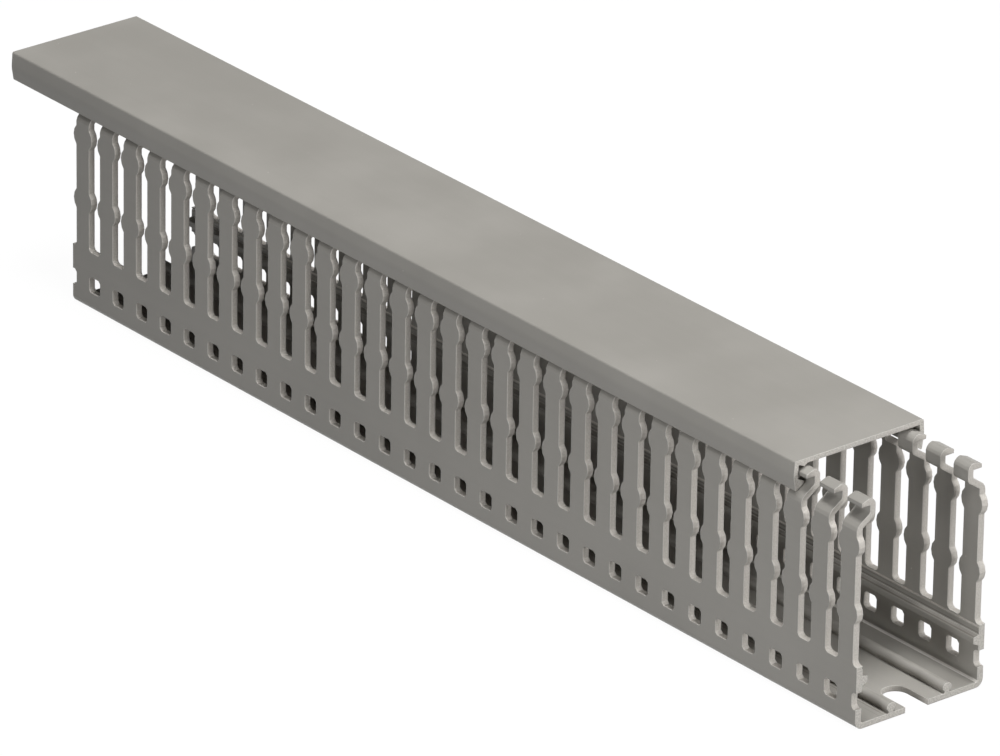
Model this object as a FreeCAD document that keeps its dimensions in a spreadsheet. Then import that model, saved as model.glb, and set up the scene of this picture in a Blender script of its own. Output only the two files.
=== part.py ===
import FreeCAD, Part
import math
import os
import Sketcher

# Slotted wiring duct, 40 x 60 mm class, with its press-on cover slid part of the way along.
# X runs along the duct, Y across it and Z up. The origin is the middle of the channel's underside.

os.makedirs("parts", exist_ok=True)
doc = FreeCAD.newDocument("slotted_wire_duct")

# Driving dimensions in millimetres
SIZES = (
    ("duct_width", 40.0, "outside to outside of the walls"),
    ("duct_height", 61.0, "underside of the channel to the top of the cover"),
    ("channel_length", 308.5, "cut length of the channel"),
    ("wall_thickness", 1.8, "side wall and finger"),
    ("floor_thickness", 1.5, "base of the channel"),
    ("outer_corner_radius", 2.2, "long lower edges, outside"),
    ("inner_corner_radius", 0.4, "long lower edges, inside"),
    ("fine_radius", 0.3, "small rounded edges of the extrusions"),
    ("finger_pitch", 10.0, "one finger and one slot"),
    ("slot_width", 4.7, "gap between two finger shafts"),
    ("slot_bottom", 16.5, "height where the finger slots start"),
    ("slot_corner_radius", 1.3, "lower corners of a slot"),
    ("low_catch_rise", 13.3, "middle of a finger's lower cable catch above the slot bottom"),
    ("catch_spacing", 17.6, "lower to upper cable catch"),
    ("catch_span", 5.3, "length of a cable catch along the finger"),
    ("catch_depth", 1.15, "how far a cable catch stands out of the finger"),
    ("hole_width", 4.6, "square hole in the lower wall, along the duct"),
    ("hole_height", 4.4, "square hole in the lower wall, upright"),
    ("hole_corner_radius", 1.2, "corner of a square hole"),
    ("hole_middle", 7.5, "height of the square holes' middle"),
    ("base_slot_width", 7.1, "mounting slot in the floor"),
    ("base_slot_length", 23.5, "mounting slot, end to end"),
    ("base_slot_pitch", 60.0, "mounting slot spacing"),
    ("base_slot_offset", 0.8, "mounting slot row off the middle, towards the front wall"),
    ("rib_spread", 17.5, "middle to middle of the two floor ribs"),
    ("rib_rise", 2.6, "floor rib above the floor"),
    ("rib_stem", 1.5, "floor rib below its bead"),
    ("rib_stem_rise", 0.5, "upright part of a floor rib under its bead"),
    ("rib_bead", 2.7, "bead along the top of a floor rib"),
    ("rib_top_radius", 1.2, "rounded top of a floor rib"),
    ("rail_low", 11.9, "lower edge of the rail inside each wall"),
    ("rail_height", 2.0, "rail from that edge to its top"),
    ("rail_depth", 1.6, "rail standing out of the wall"),
    ("rail_undercut", 0.8, "fall of the rail's underside back to the wall"),
    ("score_drop", 0.5, "break-off line inside, under the slot bottoms"),
    ("score_depth", 0.3, "depth of the break-off line"),
    ("slope_rise", 2.75, "climb of a finger's inward slope, outside"),
    ("slope_reach", 4.0, "inward run of that slope, outside"),
    ("slope_radius", 3.0, "outer bend where a finger turns inwards"),
    ("head_height", 3.85, "hooked head above the slope"),
    ("head_web", 1.6, "upright web of the hooked head"),
    ("web_foot_radius", 1.5, "inner bend from the slope to the web"),
    ("web_root_radius", 1.0, "outer bend from the slope to the web"),
    ("head_radius", 2.0, "inner top edge of the head"),
    ("hook_arm", 1.8, "thickness of the hook's outward arm"),
    ("hook_arm_reach", 2.6, "arm beyond the outer face of the web"),
    ("hook_fall", 0.8, "fall of the arm's top towards its tip"),
    ("hook_fall_run", 2.1, "length of that fall"),
    ("cover_length", 310.0, "cut length of the cover"),
    ("cover_slid", 25.0, "how far the cover is slid along as shown"),
    ("cover_thickness", 1.3, "cover plate"),
    ("cover_corner_radius", 0.5, "long upper edges of the cover"),
    ("head_clearance", 0.75, "cover plate above the hooked heads"),
    ("skirt_thickness", 1.25, "cover skirt"),
    ("skirt_bulge", 0.3, "outward bow of a skirt"),
    ("skirt_bow_radius", 8.0, "softness of that bow"),
    ("skirt_foot_inset", 0.35, "rounded foot of a skirt, inwards of the walls"),
    ("lip_reach", 1.7, "retaining lip inwards from the skirt"),
    ("lip_height", 0.75, "nose of the retaining lip"),
    ("lip_slope", 0.7, "rise from that nose back to the skirt"),
    ("slope_clearance", 0.3, "retaining lip above the fingers' slope, measured square to it"),
    ("rub_rib_depth", 0.7, "small rib under the cover plate, along the front heads"),
    ("rub_rib_inset", 2.95, "edge of that rib from the outer face"),
    ("rub_rib_steep", 0.85, "run of that rib's inner flank"),
    ("rub_rib_gentle", 1.4, "run of that rib's outer flank"),
)

sheet = doc.addObject("Spreadsheet::Sheet", "sizes")
for row, (alias, value, note) in enumerate(SIZES, 1):
    sheet.set("A%d" % row, alias)
    sheet.set("B%d" % row, str(value))
    sheet.set("C%d" % row, note)
    sheet.setAlias("B%d" % row, alias)
doc.recompute()


def size(alias):
    return float(sheet.get(alias))


def plane(body, role):
    for feature in body.Origin.OriginFeatures:
        if feature.Role == role:
            return feature
    raise ValueError(role)


def new_sketch(body, name, role):
    sketch = body.newObject("Sketcher::SketchObject", name)
    sketch.AttachmentSupport = [(plane(body, role), "")]
    sketch.MapMode = "FlatFace"
    return sketch


def vector(point):
    return FreeCAD.Vector(point[0], point[1], 0)


def short_arc(first, last, centre):
    """The arc under half a turn between two points, always drawn anticlockwise."""
    radius = (first - centre).Length
    angles = [math.atan2(point.y - centre.y, point.x - centre.x) for point in (first, last)]
    if (angles[1] - angles[0]) % (2 * math.pi) > math.pi:
        angles.reverse()
    circle = Part.Circle(centre, FreeCAD.Vector(0, 0, 1), radius)
    return Part.ArcOfCircle(circle, angles[0], angles[1])


def corner_shape(before, corner, after):
    """First point, last point and arc of a corner (x, y, radius); no arc at a sharp one."""
    middle = vector(corner)
    radius = corner[2]
    if radius == 0:
        return middle, middle, None
    inward = (vector(before) - middle).normalize()
    outward = (vector(after) - middle).normalize()
    half = inward.getAngle(outward) / 2
    first = middle + inward * (radius / math.tan(half))
    last = middle + outward * (radius / math.tan(half))
    centre = middle + (inward + outward).normalize() * (radius / math.sin(half))
    return first, last, short_arc(first, last, centre)


def rounded_outline(corners):
    """Lines and arcs of a closed outline given as (x, y, radius) corners in order."""
    count = len(corners)
    bends = [
        corner_shape(corners[index - 1], corners[index], corners[(index + 1) % count])
        for index in range(count)
    ]
    shapes = []
    for index, (first, last, arc) in enumerate(bends):
        start = bends[index - 1][1]
        if (first - start).Length > 1e-6:
            shapes.append(Part.LineSegment(start, first))
        if arc is not None:
            shapes.append(arc)
    return shapes


def flats(before, corner, after, count=2):
    """The same corner as a few flats touching its arc, for edges that every finger repeats."""
    first, last, arc = corner_shape(before, corner, after)
    step = (arc.LastParameter - arc.FirstParameter) / (count + 1)
    reach = arc.Radius / math.cos(step / 2)
    points = []
    for index in range(count + 1):
        angle = arc.FirstParameter + step * (index + 0.5)
        points.append((
            arc.Center.x + reach * math.cos(angle),
            arc.Center.y + reach * math.sin(angle),
            0,
        ))
    start = FreeCAD.Vector(points[0][0], points[0][1], 0)
    if (start - first).Length > (start - last).Length:
        points.reverse()
    return points


def draw(sketch, shapes):
    """Put a closed outline into a sketch and join each piece to the next one."""
    sketch.addGeometry(shapes, False)
    joins = []
    for index in range(len(shapes)):
        following = (index + 1) % len(shapes)
        for end in (1, 2):
            for start in (1, 2):
                gap = sketch.getPoint(index, end) - sketch.getPoint(following, start)
                if gap.Length < 1e-5:
                    joins.append(Sketcher.Constraint("Coincident", index, end, following, start))
    sketch.addConstraint(joins)


def mirrored(corners):
    return [(-x, y, radius) for x, y, radius in reversed(corners)]


half_width = size("duct_width") / 2
wall_inside = half_width - size("wall_thickness")
fine = size("fine_radius")

# Heights of the closed duct, from the cover down to the foot of the fingers' slope
cover_top = size("duct_height")
cover_under = cover_top - size("cover_thickness")
head_top = cover_under - size("head_clearance")
slope_top = head_top - size("head_height")
slope_foot = slope_top - size("slope_rise")
slope = math.atan2(size("slope_rise"), size("slope_reach"))


def slope_height(across):
    """Height of the slope's outer face at a distance from the middle."""
    return slope_foot + (half_width - across) * math.tan(slope)


# Channel section, right-hand half from the middle of the underside to the middle of the floor
web_outside = half_width - size("slope_reach")
web_inside = web_outside - size("head_web")
slope_drop = size("head_web") / math.cos(slope)
arm_low = head_top - size("hook_arm")
arm_tip = web_outside + size("hook_arm_reach")
score_height = size("slot_bottom") - size("score_drop")
score_depth = size("score_depth")
rail_face = wall_inside - size("rail_depth")
rail_top = size("rail_low") + size("rail_height")
rib_middle = size("rib_spread") / 2
stem = size("rib_stem") / 2
bead = size("rib_bead") / 2
rib_neck = size("floor_thickness") + size("rib_stem_rise")
rib_top = size("floor_thickness") + size("rib_rise")

lower_edge = (half_width, 0, size("outer_corner_radius"))
slope_bend = (half_width, slope_foot, size("slope_radius"))
web_root = (web_outside, slope_top, size("web_root_radius"))
arm_under = (web_outside, arm_low, 0)
arm_crest = (arm_tip - size("hook_fall_run"), head_top, 0)
head_edge = (web_inside, head_top, size("head_radius"))
web_foot = (web_inside, slope_height(web_inside) - slope_drop, size("web_foot_radius"))
slope_inside = (wall_inside, slope_height(wall_inside) - slope_drop, 0)

channel_half = [
    lower_edge,
    *flats(lower_edge, slope_bend, web_root),
    *flats(slope_bend, web_root, arm_under, 1),
    arm_under,
    (arm_tip, arm_low, 0),
    (arm_tip, head_top - size("hook_fall"), 0),
    arm_crest,
    *flats(arm_crest, head_edge, web_foot, 3),
    *flats(head_edge, web_foot, slope_inside, 1),
    slope_inside,
    (wall_inside, score_height + score_depth, 0),
    (wall_inside + score_depth, score_height, 0),
    (wall_inside, score_height - score_depth, 0),
    (wall_inside, rail_top, 0),
    (rail_face, rail_top - fine, fine),
    (rail_face, size("rail_low"), 0),
    (wall_inside, size("rail_low") - size("rail_undercut"), 0),
    (wall_inside, size("floor_thickness"), size("inner_corner_radius")),
    (rib_middle + stem, size("floor_thickness"), 0),
    (rib_middle + stem, rib_neck, 0),
    (rib_middle + bead, rib_neck + bead - stem, fine),
    (rib_middle + bead, rib_top, size("rib_top_radius")),
    (rib_middle - bead, rib_top, size("rib_top_radius")),
    (rib_middle - bead, rib_neck + bead - stem, fine),
    (rib_middle - stem, rib_neck, 0),
    (rib_middle - stem, size("floor_thickness"), 0),
]

channel = doc.addObject("PartDesign::Body", "channel")
channel.Label = "channel"
section = new_sketch(channel, "channel_section", "YZ_Plane")
draw(section, rounded_outline(channel_half + mirrored(channel_half)))

extrusion = channel.newObject("PartDesign::Pad", "channel_extrusion")
extrusion.Profile = section
extrusion.setExpression("Length", "sizes.channel_length")
extrusion.Midplane = True
doc.recompute()


def punch(body, name, sketch, width):
    """Cut a sketch right through the body, to both sides of its plane."""
    before = body.Shape.Volume
    pocket = body.newObject("PartDesign::Pocket", name)
    pocket.Profile = sketch
    pocket.Type = "Length"
    pocket.Midplane = True
    pocket.Refine = False
    pocket.setExpression("Length", width)
    doc.recompute()
    if pocket.Shape.Volume >= before:
        raise ValueError(name + " removed nothing")
    return pocket


def repeat(body, name, pockets, pitch, gaps):
    """Repeat punched features from the open end back along the duct, with that many gaps."""
    row = body.newObject("PartDesign::LinearPattern", name)
    row.Originals = pockets
    row.Direction = (plane(body, "X_Axis"), [""])
    row.Reversed = True
    row.Refine = False
    row.setExpression("Length", "%s * %s" % (gaps, pitch))
    row.setExpression("Occurrences", "%s + 1" % gaps)
    body.Tip = row
    doc.recompute()


# Mounting slots in the floor, the first one centred on the last finger slot of the open end
FINGERS = "floor((sizes.channel_length + sizes.hole_width) / sizes.finger_pitch)"
BASE_GAPS = "floor(sizes.channel_length / sizes.base_slot_pitch)"
finger_count = math.floor((size("channel_length") + size("hole_width")) / size("finger_pitch"))
last_slot = size("finger_pitch") * finger_count / 2
base_half = size("base_slot_width") / 2
base_run = size("base_slot_length") / 2
base_row = -size("base_slot_offset")
base_sketch = new_sketch(channel, "base_slot", "XY_Plane")
draw(base_sketch, rounded_outline([
    (last_slot + x * base_run, base_row + y * base_half, base_half)
    for x, y in ((-1, -1), (1, -1), (1, 1), (-1, 1))
]))
base_slot = punch(channel, "base_slot_cut", base_sketch, "sizes.floor_thickness * 4")
repeat(channel, "base_slots", [base_slot], "sizes.base_slot_pitch", BASE_GAPS)

# One finger slot, open at the top and narrowed twice by the cable catches on the fingers
CATCH_FLATS = 4
slot_bottom = size("slot_bottom")
slot_top = head_top * 2
low_catch = slot_bottom + size("low_catch_rise")
high_catch = low_catch + size("catch_spacing")


def catch(across, height, side):
    """Points of one cable catch bowed into the slot, going up."""
    reach = size("catch_span") / 2
    depth = size("catch_depth")
    radius = (reach ** 2 + depth ** 2) / (2 * depth)
    half_turn = math.asin(reach / radius)
    points = []
    for step in range(CATCH_FLATS + 1):
        angle = half_turn * (2 * step / CATCH_FLATS - 1)
        bow = radius * math.cos(angle) - radius + depth
        points.append((across - side * bow, height + radius * math.sin(angle), 0))
    return points


def slot_side(across, side):
    """One side of a slot from its lower corner to above the heads."""
    outer = (across - side * size("slot_width"), slot_bottom)
    corner = (across, slot_bottom, size("slot_corner_radius"))
    above = (across, slot_top, 0)
    return (
        flats(outer, corner, above)
        + catch(across, low_catch, side)
        + catch(across, high_catch, side)
        + [above]
    )


slot_half = size("slot_width") / 2
slot_outline = slot_side(last_slot + slot_half, 1) + slot_side(last_slot - slot_half, -1)[::-1]
slot_sketch = new_sketch(channel, "finger_slot", "XZ_Plane")
draw(slot_sketch, rounded_outline(slot_outline))
slot_cut = punch(channel, "finger_slot_cut", slot_sketch, "sizes.duct_width * 2")

# The square hole under it, and the row of both
hole_half = size("hole_width") / 2
hole_rise = size("hole_height") / 2
hole_corners = [
    (last_slot + x * hole_half, size("hole_middle") + z * hole_rise, size("hole_corner_radius"))
    for x, z in ((-1, -1), (1, -1), (1, 1), (-1, 1))
]
hole_outline = []
for index, corner in enumerate(hole_corners):
    hole_outline += flats(hole_corners[index - 1], corner, hole_corners[(index + 1) % 4], 1)
hole_sketch = new_sketch(channel, "square_hole", "XZ_Plane")
draw(hole_sketch, rounded_outline(hole_outline))
hole_cut = punch(channel, "square_hole_cut", hole_sketch, "sizes.duct_width * 2")
repeat(channel, "slots_and_holes", [slot_cut, hole_cut], "sizes.finger_pitch", FINGERS)

# Cover section, right-hand half from the plate's underside down the skirt and up to its top edge
gap_drop = size("slope_clearance") / math.cos(slope)
skirt_foot = slope_height(half_width) + gap_drop
skirt_inside = half_width + size("skirt_bulge") / 2 - size("skirt_thickness")
lip_nose = skirt_inside - size("lip_reach")
lip_low = slope_height(lip_nose) + gap_drop
lip_high = lip_low + size("lip_height")
foot_inset = size("skirt_foot_inset")
rub_middle = half_width - size("rub_rib_inset")
rub_low = cover_under - size("rub_rib_depth")

rub_rib = [
    (rub_middle - size("rub_rib_steep"), cover_under, 0),
    (rub_middle, rub_low, fine),
    (rub_middle + size("rub_rib_gentle"), cover_under, 0),
]
cover_half = [
    (skirt_inside, cover_under, 0),
    (skirt_inside, lip_high + size("lip_slope"), fine),
    (lip_nose, lip_high, fine),
    (lip_nose, lip_low, fine / 2),
    (half_width - foot_inset, slope_height(half_width - foot_inset) + gap_drop, fine),
    (half_width + size("skirt_bulge"), (cover_top + skirt_foot) / 2, size("skirt_bow_radius")),
    (half_width, cover_top, size("cover_corner_radius")),
]

cover = doc.addObject("PartDesign::Body", "cover")
cover.Label = "cover"
cover_section = new_sketch(cover, "cover_section", "YZ_Plane")
draw(cover_section, rounded_outline(cover_half + mirrored(cover_half) + mirrored(rub_rib)))

cover_extrusion = cover.newObject("PartDesign::Pad", "cover_extrusion")
cover_extrusion.Profile = cover_section
cover_extrusion.setExpression("Length", "sizes.cover_length")
cover_extrusion.Midplane = True
cover.setExpression("Placement.Base.x", "-sizes.cover_slid")
doc.recompute()

# Checks and one file per piece
for item in doc.Objects:
    if "Invalid" in item.State or "Error" in item.State:
        raise ValueError(item.Name + " " + str(item.State))
for body in (channel, cover):
    if body.Shape.isNull() or not body.Shape.isValid() or len(body.Shape.Solids) != 1:
        raise ValueError(body.Name)
    body.Shape.exportStep("parts/" + body.Label + ".step")
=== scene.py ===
import math

import bpy
from mathutils import Matrix, Vector

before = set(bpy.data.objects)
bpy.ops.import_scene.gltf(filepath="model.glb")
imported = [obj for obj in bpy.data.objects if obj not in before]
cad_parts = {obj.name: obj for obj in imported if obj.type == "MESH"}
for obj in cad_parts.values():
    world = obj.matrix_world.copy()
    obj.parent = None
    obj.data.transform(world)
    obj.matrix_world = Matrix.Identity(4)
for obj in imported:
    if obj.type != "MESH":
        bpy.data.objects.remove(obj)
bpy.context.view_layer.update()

# Camera: a long lens looking down from the open end of the duct, its axis through the middle.
# The picture is very slightly rolled.
camera_aim = Vector((-0.0023, -0.0020, 0.0292))
camera_distance = 2.5246
camera_azimuth = math.radians(50.80)
camera_elevation = math.radians(24.64)
camera_roll = math.radians(-0.92)
camera_lens = 368.95
camera_reach = 20

back = Vector((
    math.sin(camera_azimuth) * math.cos(camera_elevation),
    -math.cos(camera_azimuth) * math.cos(camera_elevation),
    math.sin(camera_elevation),
))
right = Vector((0, 0, 1)).cross(back).normalized()
level = Matrix((right, back.cross(right), back)).transposed()
camera_data = bpy.data.cameras.new("camera")
camera_data.sensor_fit = "HORIZONTAL"
camera_data.sensor_width = 36
camera_data.lens = camera_lens
camera_data.clip_end = camera_reach
camera = bpy.data.objects.new("camera", camera_data)
turned = level @ Matrix.Rotation(-camera_roll, 3, "Z")
camera.matrix_world = Matrix.Translation(camera_aim + back * camera_distance) @ turned.to_4x4()
bpy.context.scene.collection.objects.link(camera)
bpy.context.scene.camera = camera
bpy.context.scene.view_settings.view_transform = "Standard"


class Shade:
    """One value in a material's nodes; arithmetic on it adds the Math nodes."""

    def __init__(self, tree, socket=None):
        self.tree = tree
        self.socket = socket

    def node(self, kind, settings=None, inputs=None, output=0):
        """Add a node: its settings first, then values or links for its sockets."""
        made = self.tree.nodes.new(kind)
        for name, value in (settings or {}).items():
            setattr(made, name, value)
        for name, value in (inputs or {}).items():
            if isinstance(value, Shade):
                self.tree.links.new(value.socket, made.inputs[name])
            else:
                made.inputs[name].default_value = value
        return Shade(self.tree, made.outputs[output])

    def math(self, operation, other=0.0):
        return self.node("ShaderNodeMath", {"operation": operation}, {0: self, 1: other})

    def __add__(self, other):
        return self.math("ADD", other)

    def __rsub__(self, other):
        return self.node("ShaderNodeMath", {"operation": "SUBTRACT"}, {0: other, 1: self})

    def __mul__(self, other):
        return self.math("MULTIPLY", other)

    __radd__ = __add__
    __rmul__ = __mul__

    def mix(self, low, high):
        """A colour between low and high, by this value."""
        return self.node("ShaderNodeMix", {"data_type": "RGBA"}, {0: self, 6: low, 7: high}, 2)

    def over(self, low, high):
        """0 below low, 1 above high and smooth between them."""
        return self.node("ShaderNodeMapRange", {"interpolation_type": "SMOOTHSTEP"},
                         {0: self, 1: low, 2: high})


def colour(red, green, blue):
    """Linear colour of an 8-bit one."""
    def linear(level):
        level /= 255
        return level / 12.92 if level <= 0.04045 else ((level + 0.055) / 1.055) ** 2.4
    return (linear(red), linear(green), linear(blue), 1)


# Channel: rigid PVC pushed through a die, so its skin is smooth with faint draw lines along it.
# Slots and holes are punched out, which whitens and rolls their edges; the ends are sawn, which
# leaves a rougher, greyer face. The thin pale line round punched and sawn edges is partly a
# whitened burr and partly a painted highlight on the rounded edges.
skin_colour = colour(168, 165, 159)
skin_shade = colour(158, 155, 149)
streak_colour = colour(112, 107, 100)
punched_colour = colour(218, 213, 206)
punched_shade = colour(203, 198, 190)
sawn_colour = colour(222, 218, 211)
sawn_shade = colour(192, 188, 181)
# The pale edge line is partly a whitened burr and partly a painted highlight on the rounded edges
burr_and_highlight_colour = colour(240, 237, 231)
roll_radius = 0.00045
burr_and_highlight_radius = 0.0003
burr_and_highlight_strength = 0.9
draw_line_scale = (2, 600, 600)
streak_scale = (4, 2000, 2000)
streak_strength = 0.75
cloud_scale = 26.0
grain_scale = 2600.0
dust_scale = 900.0
dust_strength = 0.5
skin_roughness = 0.36
grain_height = 0.00006


def duct_plastic(name, tooled, line_tone):
    """The grey PVC; tooled() gives cut and sawn faces, punched edges, a painted highlight line,
    streaked places.
    """
    material = bpy.data.materials.new(name)
    material.use_nodes = True
    tree = material.node_tree
    shader = tree.nodes["Principled BSDF"]
    base = Shade(tree)
    position = base.node("ShaderNodeTexCoord", output="Object")
    normal = base.node("ShaderNodeNewGeometry", output="True Normal")
    cut, sawn, edges, painted_highlight_line, streaked = tooled(base, position, normal)

    # Draw lines run the whole length; clouds are the slow changes of tone in the plastic
    along = base.node("ShaderNodeVectorMath", {"operation": "MULTIPLY"},
                      {0: position, 1: draw_line_scale})
    lines = base.node("ShaderNodeTexNoise", {}, {"Vector": along, "Scale": 1.0, "Detail": 3.0})
    clouds = base.node("ShaderNodeTexNoise", {},
                       {"Vector": position, "Scale": cloud_scale, "Detail": 3.0, "Roughness": 0.55})
    grain = base.node("ShaderNodeTexNoise", {},
                      {"Vector": position, "Scale": grain_scale, "Detail": 2.0})
    tone = clouds.over(0.3, 0.7) * (1 - line_tone) + lines.over(0.3, 0.7) * line_tone
    narrow = base.node("ShaderNodeVectorMath", {"operation": "MULTIPLY"},
                       {0: position, 1: streak_scale})
    streaks = base.node("ShaderNodeTexNoise", {}, {"Vector": narrow, "Scale": 1.0, "Detail": 1.0})
    dark_streaks = (1 - streaks.over(0.34, 0.44)) * streaked * streak_strength
    skin = dark_streaks.mix(tone.mix(skin_shade, skin_colour), streak_colour)
    rough_tone = grain.over(0.32, 0.68)
    raw = sawn.mix(rough_tone.mix(punched_shade, punched_colour),
                   rough_tone.mix(sawn_shade, sawn_colour))

    # The thin pale line along punched and sawn edges is partly a whitened burr and partly a painted
    # highlight on their rounded edges; the long edges from the die stay grey
    tight = base.node("ShaderNodeBevel", {"samples": 6}, {"Radius": burr_and_highlight_radius})
    facing = base.node("ShaderNodeVectorMath", {"operation": "DOT_PRODUCT"},
                       {0: tight, 1: normal}, "Value")
    turned_along = base.node("ShaderNodeSeparateXYZ", {}, {0: tight}).math("ABSOLUTE").over(0.1, 0.4)
    burr_and_highlight = (1 - facing).over(0.01, 0.2) * turned_along.math("MAXIMUM", edges)
    specks = base.node("ShaderNodeTexNoise", {}, {"Vector": position, "Scale": dust_scale})
    dust = specks.over(0.77, 0.8) * dust_strength
    # The burr with its painted edge highlight, the dust and the painted corner highlight all take the
    # pale colour
    marks_and_highlights = (burr_and_highlight * burr_and_highlight_strength).math("MAXIMUM", dust).math("MAXIMUM", painted_highlight_line)
    tinted = marks_and_highlights.mix(cut.mix(skin, raw), burr_and_highlight_colour)
    tree.links.new(tinted.socket, shader.inputs["Base Color"])

    # Cut faces are duller than the skin and carry the grain; the bevel rounds edges in the shading
    roughness = cut * 0.25 + clouds * 0.1 + skin_roughness
    tree.links.new(roughness.socket, shader.inputs["Roughness"])
    height = grain * cut * 0.8 + lines * line_tone + grain * 0.1
    rolled = base.node("ShaderNodeBevel", {"samples": 8}, {"Radius": roll_radius})
    bumped = base.node("ShaderNodeBump", {},
                       {"Strength": 0.35, "Distance": grain_height, "Height": height, "Normal": rolled})
    tree.links.new(bumped.socket, shader.inputs["Normal"])
    shader.inputs["Specular IOR Level"].default_value = 0.4
    return material


def between(value, low, high):
    """1 while a value lies between two others."""
    above = value.math("GREATER_THAN", low)
    return above * value.math("LESS_THAN", high)


# Places on the channel: across is from its middle, height from its underside. A hair keeps the
# faces left by the die out of what counts as cut.
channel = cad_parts["channel"]
channel_end = max(corner.co.x for corner in channel.data.vertices)
hair = 0.00005
wall_outside = 0.0200
wall_inside = 0.0182
base_top = 0.0015
base_half = 0.0170
wall_cut_height = (0.0047, 0.0500)
wall_edge_from = 0.0181
wall_edge_height = (0.0045, 0.0490)
base_slot_half = 0.0060
base_slot_high = 0.0016
# The thin pale line along the inner corner of the far wall and the floor is a painted highlight
corner_highlight_across = (0.01765, 0.0183)
corner_highlight_height = (0.0014, 0.00195)
corner_highlight_strength = 0.9
rail_across = 0.0183
rail_height = (0.0107, 0.0162)
rib_strip_across = (-0.0178, -0.0098)
rib_strip_height = (0.0010, 0.0022)


def channel_cuts(base, position, normal):
    """Cut is all that isn't parallel to the die, or lies inside the walls or the base."""
    place = base.node("ShaderNodeSeparateXYZ", {}, {0: position})
    along = place.math("ABSOLUTE")
    sideways = Shade(base.tree, place.socket.node.outputs["Y"])
    across = sideways.math("ABSOLUTE")
    height = Shade(base.tree, place.socket.node.outputs["Z"])
    facing = base.node("ShaderNodeSeparateXYZ", {}, {0: normal})
    facing_along = facing.math("ABSOLUTE").over(0.05, 0.1)
    wall_depth = between(across, wall_inside + hair, wall_outside - hair)
    in_wall = wall_depth * between(height, *wall_cut_height)
    in_base = between(height, hair, base_top - hair) * across.math("LESS_THAN", base_half)
    cut = facing_along.math("MAXIMUM", in_wall).math("MAXIMUM", in_base)
    sawn = along.math("GREATER_THAN", channel_end - 3 * hair)
    wall_window = across.math("GREATER_THAN", wall_edge_from) * between(height, *wall_edge_height)
    base_window = (across.math("LESS_THAN", base_slot_half)
                   * height.math("LESS_THAN", base_slot_high))
    # Painted highlight along the inner corner of the wall and the floor
    corner_highlight = between(across, *corner_highlight_across) * between(height, *corner_highlight_height)
    on_rail = across.math("LESS_THAN", rail_across) * between(height, *rail_height)
    beside_rib = between(sideways, *rib_strip_across) * between(height, *rib_strip_height)
    return (cut, sawn, wall_window.math("MAXIMUM", base_window),
            corner_highlight * corner_highlight_strength, on_rail.math("MAXIMUM", beside_rib))


channel.data.materials.clear()
channel.data.materials.append(duct_plastic("channel_pvc", channel_cuts, 0.15))


# Cover: the lid, extruded from the same PVC. It is pressed over the hooked fingers and here slid
# back along them. Only its two sawn ends are pale.
def cover_cuts(base, position, normal):
    facing = base.node("ShaderNodeSeparateXYZ", {}, {0: normal})
    cut = facing.math("ABSOLUTE").over(0.5, 0.6)
    return cut, cut, 0.0, 0.0, 0.0


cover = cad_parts["cover"]
cover.data.materials.clear()
cover.data.materials.append(duct_plastic("cover_pvc", cover_cuts, 0.08))


# Floor: a large sheet that the duct lies on, dark to the lamps so that it throws little light back
# under the lid. The camera and mirrored rays see it white.
floor_reach = 6.0
floor_drop = 0.0001
floor_bounce = (0.12, 0.12, 0.12, 1)
floor_seen = (0.04, 0.04, 0.04, 1)
floor_glow = 0.97
floor_mesh = bpy.data.meshes.new("floor")
floor_mesh.from_pydata(
    [(x * floor_reach, y * floor_reach, -floor_drop)
     for x, y in ((-1, -1), (1, -1), (1, 1), (-1, 1))],
    [], [(0, 1, 2, 3)])
floor = bpy.data.objects.new("floor", floor_mesh)
bpy.context.scene.collection.objects.link(floor)

floor_material = bpy.data.materials.new("floor")
floor_material.use_nodes = True
floor_tree = floor_material.node_tree
floor_shader = floor_tree.nodes["Principled BSDF"]
floor_shader.inputs["Roughness"].default_value = 1
floor_shader.inputs["Specular IOR Level"].default_value = 0
floor_start = Shade(floor_tree)
seen = floor_start.node("ShaderNodeLightPath", output="Is Camera Ray")
mirrored = floor_start.node("ShaderNodeLightPath", output="Is Glossy Ray")
pale = seen.math("MAXIMUM", mirrored)
glow = floor_start.node("ShaderNodeEmission", {},
                        {"Color": (1, 1, 1, 1), "Strength": pale * floor_glow})
sheet = pale.mix(floor_bounce, floor_seen)
floor_tree.links.new(sheet.socket, floor_shader.inputs["Base Color"])
matt_sheet = Shade(floor_tree, floor_shader.outputs[0])
floor_sum = floor_start.node("ShaderNodeAddShader", {}, {0: matt_sheet, 1: glow})
floor_tree.links.new(floor_sum.socket, floor_tree.nodes["Material Output"].inputs["Surface"])
floor_mesh.materials.append(floor_material)

# Light: a dark room with soft boxes, the main one overhead and the next high on the right. The
# others fill the left front, the long front face, the open end and the back.
room_level = 0.01
world = bpy.data.worlds.new("room")
world.use_nodes = True
bpy.context.scene.world = world
world_start = Shade(world.node_tree)
sky_seen = world_start.node("ShaderNodeLightPath", output="Is Camera Ray")
world.node_tree.links.new((sky_seen * (1 - room_level) + room_level).socket,
                          world.node_tree.nodes["Background"].inputs["Strength"])
world.node_tree.nodes["Background"].inputs["Color"].default_value = (1, 1, 1, 1)

soft_boxes = (
    ("top", (0.0, 0.0, 2.0), 0.6, 31.0),
    ("left_fill", (-0.6, -0.7, 1.1), 0.6, 0.4),
    ("key", (0.98, -0.22, 1.05), 0.4, 4.8),
    ("front_fill", (0.26, -0.55, 0.1), 0.15, 1.15),
    ("end_fill", (1.3, 0.45, 0.28), 0.5, 7.0),
    ("back_fill", (0.1, 1.3, 0.35), 0.5, 6.0),
)
for name, place, side, power in soft_boxes:
    box_data = bpy.data.lights.new(name, "AREA")
    box_data.shape = "SQUARE"
    box_data.size = side
    box_data.energy = power
    box = bpy.data.objects.new(name, box_data)
    box.location = place
    box.rotation_euler = (-Vector(place)).to_track_quat("-Z", "Y").to_euler()
    bpy.context.scene.collection.objects.link(box)
